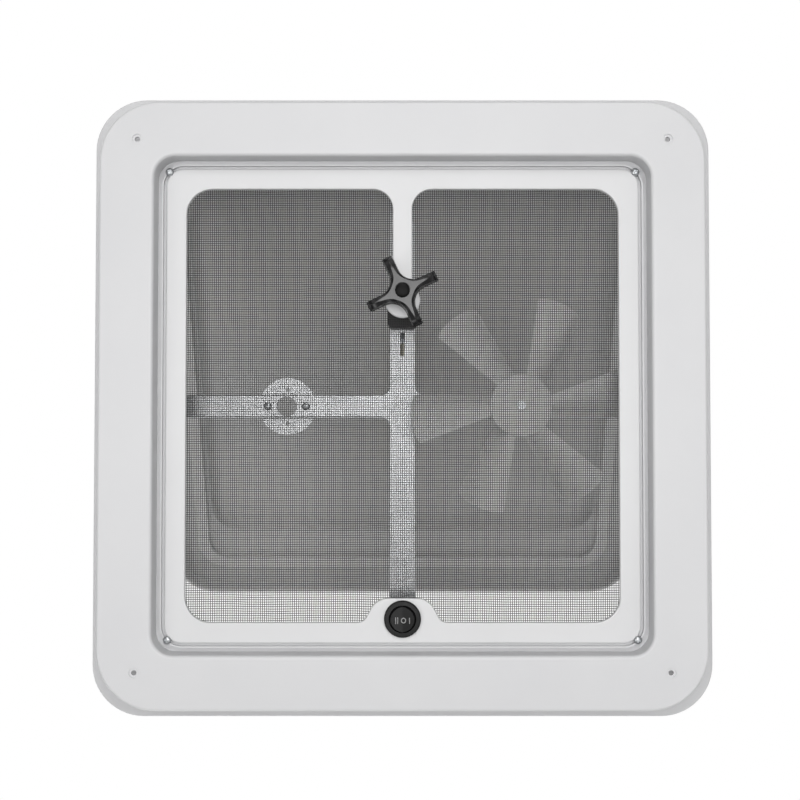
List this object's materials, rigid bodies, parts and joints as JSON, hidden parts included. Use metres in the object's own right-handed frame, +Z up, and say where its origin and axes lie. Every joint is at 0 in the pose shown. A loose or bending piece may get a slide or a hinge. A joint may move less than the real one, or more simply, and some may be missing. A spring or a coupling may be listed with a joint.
{
  "type": "roof vent fan",
  "caption": "Square camper roof vent fan: white trim ring and screened frame inside, crank-opened hinged lid on a worm-driven arm, extractor fan on a cross bracket and rocker switch.",
  "frame": {"origin": "centre of the roof opening, on the plane where the flange's underside seats on the roof", "axes": "+Z up out of the roof, +Y towards the lid's hinge, +X from the fan towards the spare seat"},
  "size_m": [0.445, 0.445, 0.2926],
  "materials": {
    "white_trim": "moulded, satin gloss",
    "base_plastic": "moulded, matte",
    "lid_plastic": "moulded, matte",
    "fan_plastic": "moulded, matte",
    "black_plastic": "moulded, matte",
    "black_gloss": "moulded, gloss",
    "nylon": "moulded, natural",
    "net": "coated fibre mesh",
    "zinc_steel": "bright zinc plated",
    "steel": "turned",
    "magnet": "sintered",
    "bronze": "sintered bronze and tinned brass",
    "seal_rubber": "grey foam rubber",
    "lead_skin": "insulation"
  },
  "bodies": {
    "base": {"roof_base": "base_plastic", "garnish": "white_trim", "screen_frame": "white_trim", "insect_screen": "net", "screen_retainer": "base_plastic", "screen_frame_screws": "zinc_steel", "support_bracket": "zinc_steel", "bracket_screws": "zinc_steel", "motor_seats": "zinc_steel", "seat_rivets": "zinc_steel", "motor_can": "zinc_steel", "motor_magnets": "magnet", "motor_end_cap": "black_plastic", "motor_bushes": "bronze", "motor_brushes": "magnet", "motor_terminals": "bronze", "motor_screws": "zinc_steel", "motor_leads": "lead_skin", "switch_body": "black_gloss", "switch_terminals": "bronze", "operator_block": "black_plastic", "operator_housing": "black_plastic", "operator_screws": "zinc_steel", "arm_pivot_pin": "steel", "hinge_pins": "steel"},
    "lid": {"lid_panel": "lid_plastic", "lid_seal": "seal_rubber", "lift_track": "nylon", "track_screws": "zinc_steel", "lid_knuckles": "lid_plastic", "knuckle_rivets": "zinc_steel"},
    "lift_arm": {"lift_gear": "steel", "lift_arm": "zinc_steel", "arm_rivets": "zinc_steel", "glide_axle": "steel", "track_glides": "nylon"},
    "crank": {"crank_knob": "black_gloss", "knob_screw": "zinc_steel", "crank_shaft": "steel", "worm": "steel"},
    "fan": {"fan_wheel": "fan_plastic", "motor_shaft": "steel", "hub_clip": "zinc_steel", "motor_armature": "magnet", "motor_commutator": "bronze"},
    "rocker": {"switch_rocker": "black_gloss"}
  },
  "joints": [
    {"name": "lid_hinge", "type": "hinge", "parent": "base", "child": "lid", "pos_m": [0, 0.195, 0.048], "axis": [-1, 0, 0], "range_deg": [-27, 23]},
    {"name": "arm_pivot", "type": "hinge", "parent": "base", "child": "lift_arm", "pos_m": [0, 0.06, 0.03], "axis": [-1, 0, 0], "range_deg": [-54.5, 46.5]},
    {"name": "crank_turn", "type": "hinge", "parent": "base", "child": "crank", "pos_m": [0, 0.077, 0], "axis": [0, 0, 1], "range_deg": [-1300, 1108]},
    {"name": "fan_spin", "type": "hinge", "parent": "base", "child": "fan", "pos_m": [-0.085, 0, 0], "axis": [0, 0, 1], "continuous": true},
    {"name": "rocker_tilt", "type": "hinge", "parent": "base", "child": "rocker", "pos_m": [0, -0.1484, -0.03], "axis": [0, 1, 0], "range_deg": [-10, 10]}
  ],
  "couplings": [
    {"joint": "arm_pivot", "follows": "lid_hinge", "ratio": 2},
    {"joint": "crank_turn", "follows": "lid_hinge", "ratio": 48}
  ]
}
